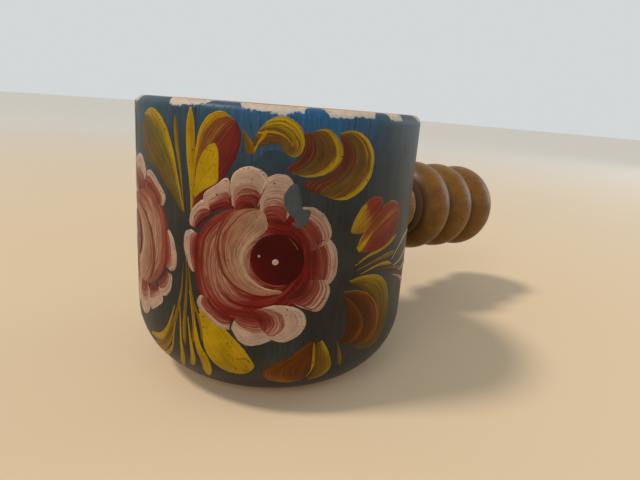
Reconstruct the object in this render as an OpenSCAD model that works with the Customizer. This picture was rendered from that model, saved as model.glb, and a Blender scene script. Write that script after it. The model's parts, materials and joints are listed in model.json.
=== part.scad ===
// Screw nutcracker: a turned wooden cup with a coarse wooden screw through
// its wall. A nut is laid in the cup, between the screw's tip and the far wall,
// and turning the beaded grip drives the screw in along its right-hand thread.
// The screw's axis runs along +X and the cup stands on z = 0.

/* [Cup] */
// Outside radius of the cup
cup_r = 33; // [27:0.5:42]
// Height of the cup
cup_h = 63; // [54:0.5:80]
// Thickness of the side wall
wall_t = 8.5; // [6:0.5:11]
// Thickness of the floor
floor_t = 10.5; // [7:0.5:13]
// Rounding where the side meets the base
base_round = 16; // [8:0.5:18]
// Rounding of the rim's outer edge
rim_round = 2; // [1:0.25:3]
// Rounding of the rim's inner edge
lip_round = 1.5; // [0.5:0.25:2.5]
// Rounding inside, where the wall meets the floor
well_round = 8; // [4:0.5:12]

/* [Screw] */
// Height of the screw's axis at the middle of the wall
screw_z = 36.4; // [33:0.2:42]
// Slope of the screw's axis, down towards the grip
screw_slope = 4.9; // [0:0.1:6]
// Radius over the thread's crests
thread_r = 9; // [7:0.25:10]
// Depth of the thread
thread_depth = 1.9; // [1.2:0.1:2.4]
// Advance of the screw in one turn
thread_pitch = 5; // [4:0.25:7]
// Clearance between the screw's thread and the wall's, square to the axis
thread_gap = 0.45; // [0.35:0.05:0.8]
// Gap between the screw's tip and the far wall with the screw home
tip_gap = 1.5; // [1:0.25:4]
// How far the screw stands open from home, in the stored pose
open_now = 14; // [4:1:24]
// Chamfer round the screw's tip
tip_chamfer = 2.6; // [1:0.2:4]

/* [Grip] */
// Radius over the beads
bead_r = 14.4; // [11:0.2:18]
// Distance from one bead to the next
bead_pitch = 14.2; // [11:0.2:17]
// Radius of the bottom of the grooves between beads
groove_r = 9; // [7.5:0.1:10]
// Number of beads
bead_count = 3; // [2:1:4]
// Radius of the collar next to the screw
collar_r = 10.2; // [9.5:0.1:11]
// Width of the collar
collar_w = 5; // [3:0.25:7]
// Radius of the groove behind the collar
neck_r = 8.2; // [7:0.1:9]
// Gap between the collar and the wall with the screw home
collar_gap = 1.2; // [1:0.1:3]

/* [Dowel] */
// Radius of the hidden dowel that joins the grip to the screw
dowel_r = 3; // [2:0.25:4]
// Depth of the dowel in each piece
dowel_depth = 14; // [8:1:20]
// Clearance round the dowel
dowel_fit = 0.05; // [0.02:0.01:0.1]

/* [Hidden] */
$fn = 96;
thread_steps = 24;      // facets in one turn of a thread
crest_share = 0.22;     // width of a crest, as a share of the pitch
root_share = 0.20;      // width of a root, as a share of the pitch
bead_share = 0.97;      // width of a bead, as a share of the bead pitch
neck_share = 0.3;       // length of the neck, as a share of a bead's width
dome_r = 20;            // radius of the grip's domed end
air = 4;                // how far a cutter runs past a surface
cavity_r = cup_r - wall_t;
wall_mid = cup_r - wall_t / 2;
root_r = thread_r - thread_depth;
// Places along the screw's axis, counted outwards from the middle of the wall
screw_tip = open_now + tip_gap - wall_mid - cavity_r;
collar_front = open_now + collar_gap + wall_t / 2;
// A bead is a ring of round section, and beads stand just short of touching
bead_tube = bead_pitch * bead_share / 2;
bead_ring = bead_r - bead_tube;
first_bead = collar_front + collar_w + 2 * bead_tube * neck_share;
last_bead = first_bead + (bead_count - 1) * bead_pitch;
// The domed end is a sphere that touches the last bead's ring all round
dome_back = sqrt(pow(dome_r - bead_tube, 2) - pow(bead_ring, 2));

// Puts what is modelled along +Z from the middle of the wall on the screw's axis
module on_screw_axis() {
    translate([wall_mid, 0, screw_z]) rotate([0, 90 + screw_slope, 0]) children();
}

// A right-hand threaded rod along Z, one solid mesh. Its rows follow the
// edges of the crests and roots, so a row climbs one pitch in a full turn and
// runs on into the row four above it. A crest starts at angle 0 and z = 0.
module threaded_rod(low, high, crest, root) {
    flank_share = (1 - crest_share - root_share) / 2;
    edges = [0, crest_share, crest_share + flank_share, 1 - flank_share];
    radii = [crest, crest, root, root];
    first_turn = floor(low / thread_pitch) - 1;
    rows = 4 * (ceil(high / thread_pitch) - first_turn + 1);
    function edge_point(column, row) =
        let (angle = 360 * column / thread_steps)
        let (turn = first_turn + floor(row / 4) + edges[row % 4] + column / thread_steps)
        [radii[row % 4] * cos(angle), radii[row % 4] * sin(angle), turn * thread_pitch];
    // Column 0 holds four rows more, where the last column runs on into it
    function at(column, row) =
        column == thread_steps ? row + 4
        : column == 0 ? row
        : rows + 5 + (column - 1) * (rows + 1) + row;
    points = [
        for (row = [0 : rows + 4]) edge_point(0, row),
        for (column = [1 : thread_steps - 1]) for (row = [0 : rows]) edge_point(column, row),
        [0, 0, (first_turn - 1) * thread_pitch],
        [0, 0, (first_turn + rows / 4 + 2) * thread_pitch]
    ];
    bottom = len(points) - 2;
    top = len(points) - 1;
    columns = [0 : thread_steps - 1];
    faces = [
        for (c = columns) for (r = [0 : rows - 1]) [at(c, r), at(c, r + 1), at(c + 1, r + 1)],
        for (c = columns) for (r = [0 : rows - 1]) [at(c, r), at(c + 1, r + 1), at(c + 1, r)],
        for (c = columns) [bottom, at(c, 0), at(c + 1, 0)],
        for (r = [0 : 3]) [bottom, at(0, r + 1), at(0, r)],
        for (c = columns) [top, at(c + 1, rows), at(c, rows)],
        for (r = [rows : rows + 3]) [top, at(0, r), at(0, r + 1)]
    ];
    polyhedron(points, faces);
}

// Half of the cup's section: the outside, less the well and the eased lip
module cup_section() {
    difference() {
        union() {
            square([cup_r - base_round, cup_h]);
            translate([cup_r - base_round, base_round]) circle(base_round);
            translate([0, base_round]) square([cup_r, cup_h - rim_round - base_round]);
            translate([0, base_round]) square([cup_r - rim_round, cup_h - base_round]);
            translate([cup_r - rim_round, cup_h - rim_round]) circle(rim_round);
        }
        translate([0, floor_t]) square([cavity_r - well_round, cup_h]);
        translate([0, floor_t + well_round]) square([cavity_r, cup_h]);
        translate([cavity_r - well_round, floor_t + well_round]) circle(well_round);
        difference() {
            translate([cavity_r - air, cup_h - lip_round]) square([air + lip_round, air]);
            translate([cavity_r + lip_round, cup_h - lip_round]) circle(lip_round);
        }
    }
}

module cup() {
    color("slategray") difference() {
        rotate_extrude() cup_section();
        on_screw_axis() intersection() {
            threaded_rod(-wall_t, wall_t, thread_r + thread_gap, root_r + thread_gap);
            cylinder(h = 2 * (wall_t / 2 + air), r = thread_r + air, center = true);
        }
    }
}

// The bore for the dowel, on both sides of the face where screw and grip meet
module dowel_bore() {
    translate([0, 0, collar_front]) cylinder(h = 2 * dowel_depth, r = dowel_r, center = true);
}

module screw() {
    color("burlywood") on_screw_axis() difference() {
        intersection() {
            threaded_rod(screw_tip, collar_front, thread_r, root_r);
            rotate_extrude() polygon([
                [0, screw_tip],
                [thread_r - tip_chamfer, screw_tip],
                [thread_r + air, screw_tip + tip_chamfer + air],
                [thread_r + air, collar_front],
                [0, collar_front]
            ]);
        }
        dowel_bore();
    }
}

// Half of the grip's section: collar, neck, beads and domed end on a core
module grip_section() {
    neck_end = first_bead - bead_tube / 2;
    translate([0, collar_front]) square([collar_r - collar_w / 2, collar_w]);
    translate([collar_r - collar_w / 2, collar_front + collar_w / 2]) circle(collar_w / 2);
    translate([0, collar_front]) square([neck_r, neck_end - collar_front]);
    translate([0, neck_end]) square([groove_r, last_bead - neck_end]);
    for (bead = [0 : bead_count - 1])
        translate([bead_ring, first_bead + bead * bead_pitch]) circle(bead_tube);
    translate([0, last_bead - dome_back]) intersection() {
        circle(dome_r);
        polygon([[0, 0], 2 * [bead_ring, dome_back], [0, 2 * dome_back]]);
    }
}

module grip() {
    color("darkgoldenrod") on_screw_axis() difference() {
        rotate_extrude() grip_section();
        dowel_bore();
    }
}

module dowel() {
    color("wheat") on_screw_axis() translate([0, 0, collar_front])
        cylinder(h = 2 * (dowel_depth - dowel_fit), r = dowel_r - dowel_fit, center = true);
}

cup();
screw();
grip();
dowel();
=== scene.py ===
# %% [markdown]
# # A hand-painted screw nutcracker
#
# The object is a turned wooden cup with a wooden screw through its wall. A nut lies in the
# cup, and turning the beaded grip presses it against the far wall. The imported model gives
# the true shapes and sizes, and this lesson gives them their finish: oil paint laid in
# brush strokes, a worn rim, a cut wooden thread and an amber varnish.

# %% Load the frame
import json
import math

import bmesh
import bpy
from mathutils import Matrix, Vector, noise


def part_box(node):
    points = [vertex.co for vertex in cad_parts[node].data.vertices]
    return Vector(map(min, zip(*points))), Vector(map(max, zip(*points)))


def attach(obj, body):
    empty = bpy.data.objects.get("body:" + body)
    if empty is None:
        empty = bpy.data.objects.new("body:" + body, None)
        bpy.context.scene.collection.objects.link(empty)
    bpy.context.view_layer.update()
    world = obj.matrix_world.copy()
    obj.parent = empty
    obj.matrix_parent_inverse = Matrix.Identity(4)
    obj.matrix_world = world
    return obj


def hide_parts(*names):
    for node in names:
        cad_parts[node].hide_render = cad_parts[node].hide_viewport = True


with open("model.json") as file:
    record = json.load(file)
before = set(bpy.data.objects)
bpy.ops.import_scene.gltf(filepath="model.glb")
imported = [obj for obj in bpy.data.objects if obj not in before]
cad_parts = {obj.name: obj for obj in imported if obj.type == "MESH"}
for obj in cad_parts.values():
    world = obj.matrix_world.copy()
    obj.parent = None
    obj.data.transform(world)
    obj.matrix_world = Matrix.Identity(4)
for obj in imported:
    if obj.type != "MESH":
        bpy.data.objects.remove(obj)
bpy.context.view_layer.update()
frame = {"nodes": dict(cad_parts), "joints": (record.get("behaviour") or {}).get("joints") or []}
MM = 0.001
scene = bpy.context.scene
scene.view_settings.view_transform = "Standard"

# %% [markdown]
# ## The cup's own measures
#
# Paint has to lie on the turned surface, so the script works out that surface first. The
# cup's box gives its radius and height. The side is straight, and below the base rounding
# it turns in on an arc, so one short function gives the radius at any height.

# %% Radius of the cup at a height, and the screw's axis
cup_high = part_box("cup")[1]
CUP_R = cup_high.y / MM
CUP_H = cup_high.z / MM
BASE_ROUND = 16.0  # the arc from the side to the base, in mm


def cup_radius(up):
    """The outside radius in mm at a height of up mm."""
    if up < BASE_ROUND:
        drop = BASE_ROUND - max(up, 0.0)
        return CUP_R - BASE_ROUND + math.sqrt(BASE_ROUND**2 - drop**2)
    return CUP_R


turn_joint = next(j for j in frame["joints"] if j["name"] == "screw_turn")
SCREW_AXIS = Vector(turn_joint["axis"]).normalized()
SCREW_POINT = Vector(turn_joint["pos_m"])
print("cup", CUP_R, "by", round(CUP_H, 1), "mm; radius 4 mm up:", round(cup_radius(4), 1))

# %% [markdown]
# ## The camera
#
# The camera is close to the cup, level with its rim, and tipped a little. It is placed by an
# angle round the cup, a distance and a height, then turned in three plain steps: its
# heading, its tilt down and its roll. A close camera with a short lens gives the strong
# perspective of a small thing held near the eye.

# %% Camera
FRONT = -130.0  # the painted front, in degrees round the cup from the grip
CAMERA_OUT, CAMERA_UP = 123.0, 63.4  # mm from the cup's axis, and above the floor
HEADING, TILT, ROLL = 44.6, 15.1, 4.4  # degrees


def polar(azimuth, radius, up):
    """A point in metres from an angle round the cup and a radius and height in mm."""
    angle = math.radians(azimuth)
    return Vector((radius * math.cos(angle), radius * math.sin(angle), up)) * MM


def in_scene(name, data):
    """A new object in the scene."""
    made = bpy.data.objects.new(name, data)
    scene.collection.objects.link(made)
    return made


camera_data = bpy.data.cameras.new("camera")
camera_data.lens = 27.8
camera_data.sensor_width = 36.0
camera_data.clip_start = 0.01
camera = in_scene("camera", camera_data)
camera.matrix_world = (
    Matrix.Translation(polar(FRONT, CAMERA_OUT, CAMERA_UP))
    @ Matrix.Rotation(math.radians(HEADING - 90.0), 4, "Z")
    @ Matrix.Rotation(math.radians(90.0 - TILT), 4, "X")
    @ Matrix.Rotation(math.radians(ROLL), 4, "Z")
)
scene.camera = camera
print("camera at", [round(c / MM) for c in camera.matrix_world.translation], "mm")

# %% [markdown]
# ## Helpers for materials
#
# Each finish below is a node graph. One function adds a node with its settings and links,
# so a graph reads as a list. Colours are written as sRGB hex values, which is how a paint
# chart gives them, and one function turns them to the linear values that Blender uses.


# %% Colour and node helpers
def linear(colour):
    """A shader's colour from an sRGB hex value. A plain number gives a grey of that value."""
    if not isinstance(colour, str):
        return (colour, colour, colour, 1.0)
    out = []
    for i in (1, 3, 5):
        c = int(colour[i : i + 2], 16) / 255.0
        out.append(c / 12.92 if c <= 0.04045 else ((c + 0.055) / 1.055) ** 2.4)
    return (*out, 1.0)


def feed(tree, node, inputs):
    """Gives a node its inputs: values or other nodes' outputs, in order or by name or place."""
    for key, value in inputs.items() if isinstance(inputs, dict) else enumerate(inputs):
        if isinstance(value, bpy.types.NodeSocket):
            tree.links.new(value, node.inputs[key])
        else:
            node.inputs[key].default_value = value


def add(tree, kind, inputs=(), out=0, stops=(), **settings):
    """Adds a node with its settings and links, and gives back one of its outputs.

    The stops are the positions and colours of a ramp.
    """
    made = tree.nodes.new("ShaderNode" + kind)
    for key, value in settings.items():
        setattr(made, key, value)
    feed(tree, made, inputs)
    for count, (position, colour) in enumerate(stops):
        elements = made.color_ramp.elements
        element = elements[count] if count < 2 else elements.new(position)
        element.position, element.color = position, linear(colour)
    return made.outputs[out]


TINT = {"data_type": "RGBA", "out": 2}  # a Mix node's settings for colours; 6 and 7 are A and B


def new_material(name):
    """An empty material with its node tree and its shader."""
    material = bpy.data.materials.new(name)
    material.use_nodes = True
    tree = material.node_tree
    return material, tree, tree.nodes["Principled BSDF"]


def blotches(tree, in_mm, size, stretch=(1, 1, 1), detail=3.0, rough=0.55):
    """An uneven pattern, size mm from blotch to blotch, drawn out along an axis by stretch."""
    scale = [1 / (size * factor) for factor in stretch]
    at = add(tree, "Mapping", {"Vector": in_mm, "Scale": scale})
    return add(
        tree, "TexNoise", {"Vector": at, "Scale": 1.0, "Detail": detail, "Roughness": rough}
    )


def millimetres(tree):
    """The piece's own coordinates in mm."""
    place = add(tree, "TexCoord", out="Object")
    return add(tree, "Mapping", {"Vector": place, "Scale": (1 / MM, 1 / MM, 1 / MM)})


print("mid grey #808080 is", round(linear("#808080")[0], 3), "in linear light")

# %% [markdown]
# ## How the strokes are made
#
# This kind of folk flower is painted with a loaded brush: two colours side by side on the
# bristles, pressed down and swept round, so each petal or leaf is one stroke whose streaks
# follow the sweep. A flat picture on the cup would show no paint edges, so each stroke is
# its own thin piece. It starts as a bmesh grid, lies between an outer and an inner curve
# given in mm on the cup's side, and is then given its thickness. Across the stroke a value
# called load says which of the brush's colours lies there.


# %% Curves through a few points
def along(points, t):
    """A smooth curve through points, at t from 0 to 1."""
    last = len(points) - 1
    place = min(max(t, 0.0), 1.0) * last
    i = min(int(place), last - 1)
    f = place - i
    p0, p1 = Vector(points[max(i - 1, 0)]), Vector(points[i])
    p2, p3 = Vector(points[i + 1]), Vector(points[min(i + 2, last)])
    bend = (2 * p0 - 5 * p1 + 4 * p2 - p3) * f**2
    twist = (3 * p1 - p0 - 3 * p2 + p3) * f**3
    return 0.5 * (2 * p1 + (p2 - p0) * f + bend + twist)


def smooth(x):
    """0 to 1 with soft ends."""
    x = min(max(x, 0.0), 1.0)
    return x * x * (3 - 2 * x)


def outward(place):
    """The direction that the cup's outside faces at a place on it."""
    flat = Vector((place.x, place.y, 0.0)).normalized()
    if place.z >= BASE_ROUND * MM:
        return flat
    ring = flat * (CUP_R - BASE_ROUND) * MM
    ring.z = BASE_ROUND * MM
    return (place - ring).normalized()


print("a bend through three points, halfway:", along([(0, 0), (1, 1), (2, 0)], 0.5))


# %% A sheet that holds a motif's strokes
class Sheet:
    """Strokes that make one piece. A motif drawn about a pivot is placed by at, turn and flip."""

    def __init__(self, pivot, at, turn, flip):
        self.bm = bmesh.new()
        self.uv = self.bm.loops.layers.uv.new("brush")
        self.load = self.bm.verts.layers.float.new("load")
        self.paints, self.count = [], 0
        self.pivot, self.at, self.flip = Vector(pivot), Vector(at), flip
        self.turn = Matrix.Rotation(math.radians(turn), 2)

    def on_cup(self, point, lift):
        """The place in metres of a point of the motif, lift mm above the cup's surface."""
        x, y = self.turn @ (Vector(point) - self.pivot)
        arc, up = (-x if self.flip else x) + self.at.x, y + self.at.y
        surface = polar(FRONT + math.degrees(arc / CUP_R), cup_radius(up), up)
        return surface + outward(surface) * lift * MM


print("10 mm along the side is", round(math.degrees(10 / CUP_R), 1), "degrees round the cup")

# %% [markdown]
# ## One sweep of the brush
#
# A stroke is a grid whose two long sides are moved onto the outer and the inner curve, with
# a slight shake of the hand. Wet paint sinks to nothing at its edge and reaches its full
# height within half a millimetre. The grid is then extruded into the wall, so that the
# stroke is a closed solid. Its UV map is in mm along and across the sweep, so streaks that
# are drawn on it follow the brush.

# %% Stroke
EDGE = 0.45  # how far in from its edge a stroke reaches full height, in mm
SINK = 0.04  # how far its edge lies under the surface, in mm
BODY = 0.30  # thickness of a stroke's solid, mostly inside the wall, in mm
ALONG, ACROSS = 0.8, 0.55  # mm between the grid's lines
APART = 40  # mm in the UV map from one stroke to the next, so that no two have the same streaks
noise.seed_set(1)  # so that the hand shakes the same way each run


def laid_height(u, v, length, width, lift, ring):
    """How high the paint stands over the wall, in mm."""
    from_edge = (1 - v) * width
    if not ring:
        from_edge = min(min(u, 1 - u) * length, min(v, 1 - v) * max(width, 0.8))
    return -SINK + (lift + SINK) * math.sqrt(smooth(from_edge / EDGE))


def by_side(u, v):
    """The load of a brush that is held square: 0 on the inner curve and 1 on the outer one."""
    return v


def stroke(sheet, paint, outer, inner, lift=0.08, load=by_side, shaky=0.12, ring=False):
    """One sweep of the brush between two curves.

    The load is a number, or a function of u along the sweep and v across it, both from 0 to
    1, and v is 1 on the outer curve. A ring comes round to its own start.
    """
    sheet.count += 1
    if paint not in sheet.paints:
        sheet.paints.append(paint)
    length = sum((Vector(b) - Vector(a)).length for a, b in zip(outer, outer[1:]))
    width = (along(outer, 0.5) - along(inner, 0.5)).length
    steps = max(10, int(length / ALONG))
    rows = max(5, min(16, int(width / ACROSS)))
    bm = sheet.bm
    grid = bmesh.ops.create_grid(bm, x_segments=steps, y_segments=rows, size=0.5)["verts"]
    places = {}
    for vert in grid:
        u, v = vert.co.x + 0.5, vert.co.y + 0.5
        point = along(inner, u).lerp(along(outer, u), v)
        shake = noise.noise_vector(Vector((point.x * 0.9, point.y * 0.9, 0.0))) * shaky
        height = laid_height(u, v, length, width, lift, ring)
        vert.co = sheet.on_cup((point.x + shake.x, point.y + shake.y), height)
        vert[sheet.load] = load(u, v) if callable(load) else load
        places[vert] = (u * length + APART * sheet.count, v * width)
    faces = list(dict.fromkeys(face for vert in grid for face in vert.link_faces))
    for face in faces:
        face.material_index = sheet.paints.index(paint)
        face.smooth = True
        for loop in face.loops:
            loop[sheet.uv].uv = places[loop.vert]
    if ring:
        bmesh.ops.remove_doubles(bm, verts=grid, dist=0.002 * MM)
        faces = [face for face in faces if face.is_valid]
    bm.normal_update()
    middle = faces[len(faces) // 2]
    if middle.normal.dot(outward(middle.calc_center_median())) < 0:
        bmesh.ops.reverse_faces(bm, faces=faces)
    below = bmesh.ops.extrude_face_region(bm, geom=faces, use_keep_orig=True)["geom"]
    for vert in (part for part in below if isinstance(part, bmesh.types.BMVert)):
        vert.co -= outward(vert.co) * BODY * MM


print("a stroke is", BODY, "mm thick, and its edge lies", SINK, "mm under the surface")


# %% Dabs and touches
def dab(sheet, paint, centre, radius, lift, load=by_side):
    """A round spot of paint, swept round from its middle outwards."""
    around = [math.radians(a) for a in range(0, 361, 30)]
    rim = [(centre[0] + radius * math.cos(a), centre[1] + radius * math.sin(a)) for a in around]
    stroke(sheet, paint, rim, [centre] * len(rim), lift, load, 0.08, ring=True)


def touch(sheet, paint, centre, width, lift=0.1, load=by_side):
    """One touch of the brush's tip along a line, thin at its start and round at its end."""
    sides = ([], [])
    for i in range(8):
        t = i / 7
        ahead, behind = along(centre, t + 0.03), along(centre, t - 0.03)
        across = (ahead - behind).orthogonal().normalized()
        half = 0.5 * width * (0.15 + 0.85 * smooth(t / 0.7))
        half *= math.sqrt(max(1 - (max(t - 0.75, 0) / 0.25) ** 2, 0.02))
        middle = along(centre, t)
        sides[0].append(middle + across * half)
        sides[1].append(middle - across * half)
    stroke(sheet, paint, sides[0], sides[1], lift, load, 0.06)


def touches(sheet, lift, *rows):
    """Several touches, each laid a little over the one before."""
    for count, (paint, centre, width) in enumerate(rows):
        touch(sheet, paint, centre, width, lift + 0.01 * count, lambda u, v: 0.25 + 0.6 * v)


def motif(name, draw, pivot, at, turn=0.0, flip=False, **more):
    """Draws a motif about its pivot, placed on the cup, as a piece that rides on the cup."""
    sheet = Sheet(pivot, at, turn, flip)
    draw(sheet, **more)
    bmesh.ops.recalc_face_normals(sheet.bm, faces=sheet.bm.faces)
    mesh = bpy.data.meshes.new(name)
    sheet.bm.to_mesh(mesh)
    sheet.bm.free()
    for paint in sheet.paints:
        mesh.materials.append(PAINTS[paint])
    made = in_scene(name, mesh)
    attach(made, "cup")
    print(name, len(mesh.polygons), "faces")


print("a dab and a touch are both strokes, so one function makes every mesh of paint")

# %% [markdown]
# ## The paints
#
# Artists' oil or enamel on wood dries with fine ridges from the bristles. The brush carries
# two colours, so a ramp over the load gives the blend from one to the other, and a noise
# that is stretched along the stroke breaks the blend into streaks. The same noise raises
# the ridges. Each paint has its own ramp, from the load's 0 side to its 1 side.

# %% Brush paint
STREAK_WIDE = 0.5  # mm across a streak of several bristles, as one bristle is too fine to show
STREAK_LONG = 14.0  # mm along it
BROAD = 2.0  # a band of several streaks is this many times as long, and 2.9 times as wide
SPECK = 0.5  # mm across a pinhole where the ground shows
CLOUD = 3.5  # mm across the patches where the paint lies thicker or thinner
RIDGE = 0.1  # mm of height in the streaks
OIL_SHEEN = 0.1  # old oil paint is dull next to fresh varnish


def brush_paint(name, stops, streaks=0.45, gloss=0.34, specks=0.0):
    """Oil paint from a loaded brush. The stops are its colours by load, from 0 to 1."""
    material, tree, shader = new_material("brushed oil paint " + name)
    load = add(tree, "Attribute", out="Fac", attribute_name="load")
    stroke_mm = add(tree, "UVMap", uv_map="brush")
    fine = blotches(tree, stroke_mm, 1, (STREAK_LONG, STREAK_WIDE, 1), 3.0, 0.6)
    broad = blotches(tree, stroke_mm, BROAD, (STREAK_LONG, 1.43 * STREAK_WIDE, 1), 1.0)
    broad = add(tree, "Math", [broad, 0.3], operation="MULTIPLY")
    both = add(tree, "Math", [fine, 0.7, broad], operation="MULTIPLY_ADD")
    # The streaks shift the load to either side, so the two colours run into each other
    shift = add(tree, "Math", [both, 5.0 * streaks, -2.5 * streaks], operation="MULTIPLY_ADD")
    loaded = add(tree, "Math", [load, shift], operation="ADD")
    colour = add(tree, "ValToRGB", [loaded], stops=stops)
    in_mm = millimetres(tree)
    patchy = blotches(tree, in_mm, CLOUD, detail=2.0, rough=0.5)
    shade = add(tree, "ValToRGB", [patchy], stops=[(0.3, 0.8), (0.7, 1.12)])
    colour = add(tree, "Mix", {0: 1.0, 6: colour, 7: shade}, blend_type="MULTIPLY", **TINT)
    if specks:
        dots = blotches(tree, in_mm, SPECK, detail=1.0, rough=0.5)
        dots = add(tree, "ValToRGB", [dots], stops=[(0.74 - specks, 0.0), (0.78 - specks, 1.0)])
        colour = add(tree, "Mix", {0: dots, 6: colour, 7: linear("#2a2018")}, **TINT)
    height = add(tree, "Math", [patchy, 0.4, both], operation="MULTIPLY_ADD")
    bump = add(tree, "Bump", {"Height": height, "Distance": RIDGE * MM, "Strength": 0.8})
    rough = add(tree, "Math", [both, 0.25, gloss - 0.1], operation="MULTIPLY_ADD")
    feed(tree, shader, {"Base Color": colour, "Roughness": rough, "Normal": bump})
    feed(tree, shader, {"Specular IOR Level": OIL_SHEEN})
    return material


print("a streak is", STREAK_WIDE, "mm wide and", STREAK_LONG, "mm long")

# %% [markdown]
# ## The colours on the brush
#
# Red lake, madder, chrome yellow and an earth brown, each broken with the one beside it,
# and all of them a little brown under old varnish. Each list goes from the paint at the
# load's 0 side to the paint at its 1 side, and the numbers after it say how much the two
# part into streaks, how rough the dried paint is and how many pinholes it has.

# %% The paints
PAINTS = {
    "petal": brush_paint(
        "petal",
        [
            (0.0, "#48130c"), (0.2, "#642016"), (0.38, "#70352a"), (0.52, "#8a6150"),
            (0.68, "#a08873"), (0.82, "#97786a"), (1, "#ab947e")
        ],
        0.3,
        specks=0.04,
    ),
    "rose": brush_paint(
        "rose",
        [
            (0.0, "#4f0b08"), (0.18, "#641510"), (0.36, "#6c281d"), (0.5, "#7a4334"),
            (0.62, "#6f3326"), (0.75, "#8d6450"), (0.88, "#7d4c3b"), (1, "#9a7a60")
        ],
        0.42,
    ),
    "cream": brush_paint(
        "cream",
        [
            (0.0, "#561e16"), (0.2, "#77412f"), (0.4, "#8b654d"), (0.55, "#784c37"),
            (0.72, "#93725a"), (0.85, "#86634b"), (1.0, "#9d8164")
        ],
        0.55,
        specks=0.01,
    ),
    "eye": brush_paint(
        "dark red", [(0.0, "#360201"), (0.5, "#410303"), (1.0, "#560705")], 0.1, 0.25
    ),
    "shine": brush_paint("pale red", [(0.0, "#5e2a20"), (1.0, "#7d4f41")], 0.3),
    "white": brush_paint("white", [(0.0, "#8f7a69"), (1.0, "#ab9886")], 0.3),
    "deep": brush_paint("deep red", [(0.0, "#4d0d09"), (1.0, "#6b1c14")], 0.4, 0.28),
    "olive": brush_paint(
        "olive leaf",
        [
            (0.0, "#4a3817"), (0.22, "#5d4519"), (0.4, "#504a1b"), (0.62, "#786012"),
            (0.8, "#967908"), (1.0, "#a08308")
        ],
        0.3,
        specks=0.03,
    ),
    "crimson": brush_paint(
        "crimson leaf",
        [
            (0.0, "#571816"), (0.3, "#63211b"), (0.58, "#6a3d1e"), (0.76, "#8f6c06"),
            (1.0, "#9c7e06")
        ],
        0.26,
        specks=0.02,
    ),
    "yellow": brush_paint(
        "yellow leaf",
        [(0.0, "#69460b"), (0.25, "#7f5904"), (0.5, "#917204"), (1.0, "#9c7d05")],
        0.4,
        specks=0.05,
    ),
    "ochre": brush_paint(
        "ochre leaf", [(0.0, "#4a3310"), (0.5, "#674810"), (1.0, "#86660a")], 0.45
    ),
    "garland": brush_paint(
        "garland leaf",
        [
            (0.0, "#4b2214"), (0.18, "#5b2c1b"), (0.32, "#494018"), (0.46, "#5e4619"),
            (0.58, "#64321d"), (0.7, "#6f5b14"), (0.84, "#94780d"), (1, "#a0830c")
        ],
        0.38,
        specks=0.03,
    ),
    "tulip": brush_paint(
        "tulip",
        [
            (0.0, "#5d1f19"), (0.35, "#6e2a1e"), (0.65, "#7a3a1d"), (0.85, "#83541a"),
            (1.0, "#8a6a16")
        ],
        0.45,
    ),
    "orange": brush_paint(
        "orange leaf",
        [
            (0.0, "#3d1d02"), (0.45, "#4b2504"), (0.75, "#5c2f03"), (0.9, "#7a4907"),
            (1.0, "#7d4e07")
        ],
        0.3,
    ),
    "chip": brush_paint("undercoat", [(0.0, "#3f4344"), (1.0, "#454a4b")], 0.1, 0.5),
    "patch": brush_paint("blue ground", [(0.0, "#26323a"), (1.0, "#2e3d47")], 0.1, 0.4),
    "moss": brush_paint(
        "moss leaf",
        [
            (0.0, "#3c2b08"), (0.4, "#543c0c"), (0.7, "#6a500c"), (0.88, "#866a0d"),
            (1.0, "#8a6e0c")
        ],
        0.34,
    ),
}
print(len(PAINTS), "paints mixed")

# %% [markdown]
# ## The rose
#
# The rose is painted in four goes. A round body is swept about the eye, so its streaks run
# in rings. Petals are laid round it, each one press of a brush with white on its outer
# side. A cream comma and a glossy dark eye go on last. The motif is drawn once, in mm along
# the cup's side and up, and is then placed and turned like a rubber stamp for each rose.

# %% Rose
ROSE = (-3.5, 34.3)
EYE = (0.7, 35.3)


def rose_load(u, v):
    """Cream gathers in a crescent on the side that faces away from the eye's near edge."""
    angle = math.radians(360 * u)
    to_left = max(0.0, -math.cos(angle + math.radians(10)))
    crescent = to_left**0.8 * smooth(v / 0.4) * (1 - smooth((v - 0.68) / 0.38))
    low = max(0.0, -math.sin(angle)) * smooth((v - 0.25) / 0.3) * (1 - smooth((v - 0.75) / 0.25))
    return 0.11 + 0.74 * crescent + 0.02 * low


print("the rose's middle is", ROSE, "and its eye", EYE)

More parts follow.
